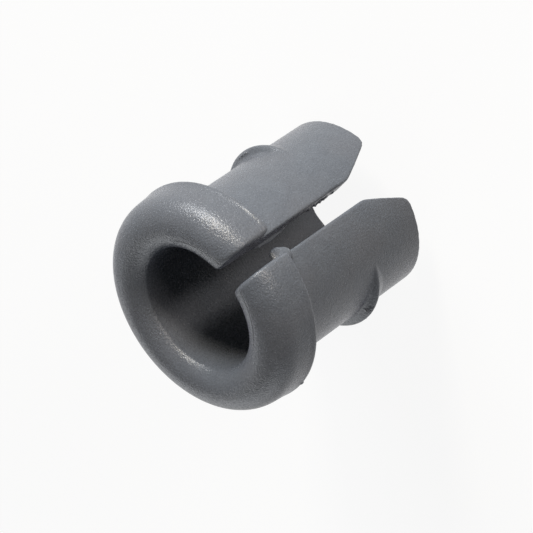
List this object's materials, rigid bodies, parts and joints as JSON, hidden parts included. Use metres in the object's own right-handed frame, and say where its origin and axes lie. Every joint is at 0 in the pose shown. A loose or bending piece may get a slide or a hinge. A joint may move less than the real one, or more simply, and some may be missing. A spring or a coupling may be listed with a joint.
{
  "type": "split snap-in grommet",
  "caption": "Split soft grommet with a domed ring head, a bell-mouthed bore, a slotted round barrel, crescent snap barbs and a V mouth at the tail.",
  "frame": {"origin": "on the bore's axis, in the plane of the head's flat rear face, which seats on the panel", "axes": "+Z along the bore, out of the head; the slot and the V mouth face -Y, the barbs face +X and -X"},
  "size_m": [0.0152, 0.0151, 0.0165],
  "materials": {
    "rubber": "satin, fine moulded grain"
  },
  "bodies": {
    "root": {"grommet": "rubber"}
  },
  "joints": []
}
